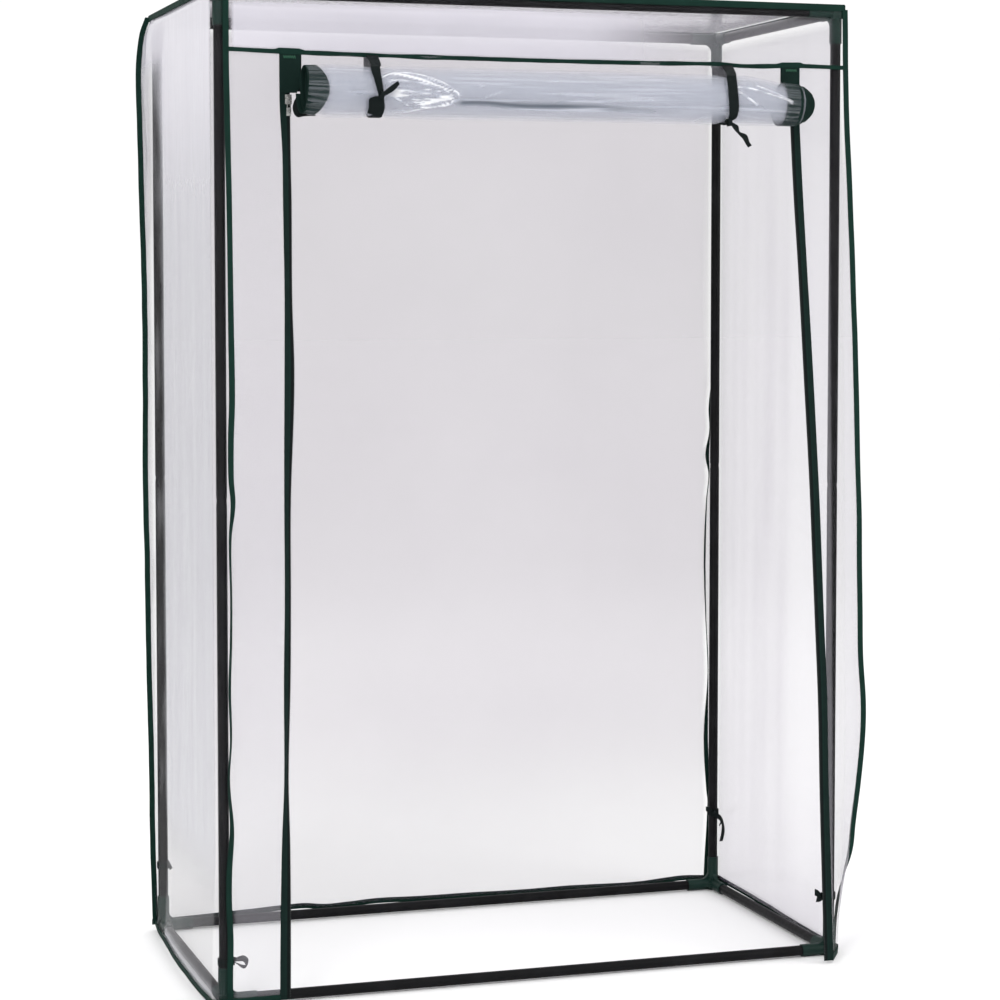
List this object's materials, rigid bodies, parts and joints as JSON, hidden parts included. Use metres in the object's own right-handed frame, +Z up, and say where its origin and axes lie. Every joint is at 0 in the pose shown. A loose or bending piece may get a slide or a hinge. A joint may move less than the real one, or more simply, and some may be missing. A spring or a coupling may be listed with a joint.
{
  "type": "mini greenhouse",
  "caption": "Upright mini greenhouse: a black steel-tube frame with moulded green corners under a clear film cover with bound edges and a zipped front door that rolls up.",
  "frame": {"origin": "on the ground, in the middle of the whole object's box, which includes the rolled door in front of the frame", "axes": "+Z up, +X to the right of someone who faces the door, the door on the -Y side"},
  "size_m": [1.019, 0.5935, 1.5005],
  "materials": {
    "black_tube": "black powder coat",
    "green_corner": "moulded dark green plastic",
    "clear_film": "clear soft film, slightly hazy",
    "green_binding": "woven dark green binding tape",
    "zip_tape": "woven dark green zip tape",
    "tie_tape": "woven near-black tape",
    "zip_metal": "plated zip slider"
  },
  "bodies": {
    "frame_and_cover": {"roof_panel": "clear_film", "rear_panel": "clear_film", "left_panel": "clear_film", "right_panel": "clear_film", "front_valance": "clear_film", "left_front_strip": "clear_film", "right_front_strip": "clear_film", "door_sheet": "clear_film", "front_left_lower_post": "black_tube", "front_left_upper_post": "black_tube", "front_right_lower_post": "black_tube", "front_right_upper_post": "black_tube", "rear_left_lower_post": "black_tube", "rear_left_upper_post": "black_tube", "rear_right_lower_post": "black_tube", "rear_right_upper_post": "black_tube", "front_base_rail": "black_tube", "front_top_rail": "black_tube", "rear_base_rail": "black_tube", "rear_top_rail": "black_tube", "left_base_rail": "black_tube", "left_top_rail": "black_tube", "right_base_rail": "black_tube", "right_top_rail": "black_tube", "front_left_base_corner": "green_corner", "front_left_top_corner": "green_corner", "front_right_base_corner": "green_corner", "front_right_top_corner": "green_corner", "rear_left_base_corner": "green_corner", "rear_left_top_corner": "green_corner", "rear_right_base_corner": "green_corner", "rear_right_top_corner": "green_corner", "front_left_edge_binding": "green_binding", "front_right_edge_binding": "green_binding", "rear_left_edge_binding": "green_binding", "rear_right_edge_binding": "green_binding", "front_roof_binding": "green_binding", "rear_roof_binding": "green_binding", "left_roof_binding": "green_binding", "right_roof_binding": "green_binding", "valance_binding": "green_binding", "left_hem": "green_binding", "right_hem": "green_binding", "rear_hem": "green_binding", "left_strip_hem": "green_binding", "right_strip_hem": "green_binding", "left_zip_tape": "zip_tape", "right_zip_tape": "zip_tape", "left_front_tie": "tie_tape", "left_rear_tie": "tie_tape", "right_front_tie": "tie_tape", "right_rear_tie": "tie_tape", "corner_ties": "tie_tape"},
    "door_roll": {"door_roll": "clear_film", "door_left_edge_tape": "zip_tape", "door_right_edge_tape": "zip_tape"},
    "left_zip_slider": {"left_zip_slider": "zip_metal"},
    "left_zip_pull": {"left_zip_pull": "zip_metal"},
    "right_zip_slider": {"right_zip_slider": "zip_metal"},
    "right_zip_pull": {"right_zip_pull": "zip_metal"}
  },
  "joints": [
    {"name": "door_drop", "type": "slide", "parent": "frame_and_cover", "child": "door_roll", "axis": [0, 0, -1], "range_m": [0, 1.29], "deforming": ["door_sheet", "left_front_tie", "left_rear_tie", "right_front_tie", "right_rear_tie"]},
    {"name": "left_zip_slide", "type": "slide", "parent": "frame_and_cover", "child": "left_zip_slider", "axis": [0, 0, -1], "range_m": [0, 1.29]},
    {"name": "left_pull_swing", "type": "hinge", "parent": "left_zip_slider", "child": "left_zip_pull", "pos_m": [-0.39, -0.21011, 1.336], "axis": [-1, 0, 0], "range_deg": [0, 160]},
    {"name": "right_zip_slide", "type": "slide", "parent": "frame_and_cover", "child": "right_zip_slider", "axis": [0.0365, -0.0308, -0.9989], "range_m": [0, 1.29]},
    {"name": "right_pull_swing", "type": "hinge", "parent": "right_zip_slider", "child": "right_zip_pull", "pos_m": [0.41036, -0.2121, 1.336], "axis": [-1, 0, 0], "range_deg": [0, 160]}
  ]
}
